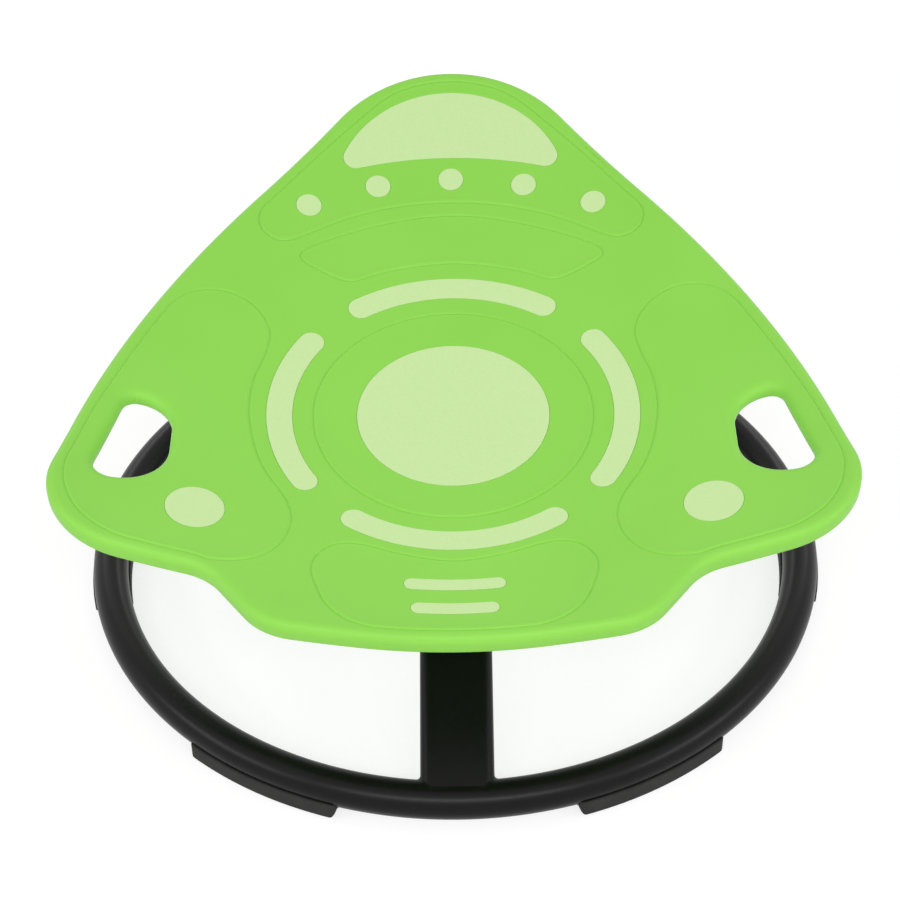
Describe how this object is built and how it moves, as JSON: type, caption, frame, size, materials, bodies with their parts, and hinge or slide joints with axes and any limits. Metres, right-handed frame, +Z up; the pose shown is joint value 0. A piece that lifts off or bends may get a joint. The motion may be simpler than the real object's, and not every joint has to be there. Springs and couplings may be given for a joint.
{
  "type": "toddler spinning seat",
  "caption": "Dished moulded seat with hand holes and glow inlays that spins on a tilted bearing, carried by a bent tube arch on a floor ring with rubber saddle feet.",
  "frame": {"origin": "centre of the floor ring, on the floor under the soles of the feet", "axes": "+Z up from the floor, -Y towards the front edge of the seat with the two bar inlays, +X towards the right-hand hole in the picture"},
  "size_m": [0.597, 0.5939, 0.2894],
  "materials": {
    "lime_plastic": "satin moulded plastic with a fine grain",
    "glow_plastic": "pale phosphorescent plastic, smooth",
    "black_steel": "satin black powder coat on steel tube",
    "black_plastic": "moulded push-on cap",
    "foot_rubber": "matt dark rubber",
    "zinc_steel": "bright zinc plate",
    "bright_steel": "turned steel",
    "bearing_steel": "ground and polished",
    "brass_insert": "knurled brass",
    "cage_nylon": "natural nylon"
  },
  "bodies": {
    "base": {"base_ring": "black_steel", "support_arch": "black_steel", "bearing_housing": "black_steel", "housing_cap": "black_plastic", "upper_outer_race": "bearing_steel", "lower_outer_race": "bearing_steel", "foot_front_left": "foot_rubber", "foot_left": "foot_rubber", "foot_rear_left": "foot_rubber", "foot_rear_right": "foot_rubber", "foot_right": "foot_rubber", "foot_front_right": "foot_rubber", "foot_screws": "zinc_steel"},
    "seat": {"seat_shell": "lime_plastic", "centre_insert": "glow_plastic", "rear_arc_insert": "glow_plastic", "front_arc_insert": "glow_plastic", "left_arc_insert": "glow_plastic", "right_arc_insert": "glow_plastic", "left_spot_insert": "glow_plastic", "right_spot_insert": "glow_plastic", "rear_cap_insert": "glow_plastic", "rear_dot_inserts": "glow_plastic", "long_bar_insert": "glow_plastic", "short_bar_insert": "glow_plastic", "hub_plate": "black_steel", "hub_bolts": "zinc_steel", "threaded_inserts": "brass_insert", "spindle": "bright_steel", "bearing_spacer": "bright_steel", "upper_inner_race": "bearing_steel", "lower_inner_race": "bearing_steel", "spindle_washer": "zinc_steel", "spindle_nut": "zinc_steel", "dust_seal": "foot_rubber"},
    "upper_cage": {"upper_ball_cage": "cage_nylon", "upper_balls": "bearing_steel"},
    "lower_cage": {"lower_ball_cage": "cage_nylon", "lower_balls": "bearing_steel"}
  },
  "joints": [
    {"name": "seat_spin", "type": "hinge", "parent": "base", "child": "seat", "pos_m": [0, -0.01, 0], "axis": [0, -0.1392, 0.9903], "continuous": true},
    {"name": "upper_cage_spin", "type": "hinge", "parent": "base", "child": "upper_cage", "pos_m": [0, -0.01, 0], "axis": [0, -0.1392, 0.9903], "continuous": true},
    {"name": "lower_cage_spin", "type": "hinge", "parent": "base", "child": "lower_cage", "pos_m": [0, -0.01, 0], "axis": [0, -0.1392, 0.9903], "continuous": true}
  ],
  "couplings": [
    {"joint": "upper_cage_spin", "follows": "seat_spin", "ratio": 0.4077},
    {"joint": "lower_cage_spin", "follows": "seat_spin", "ratio": 0.4077}
  ]
}
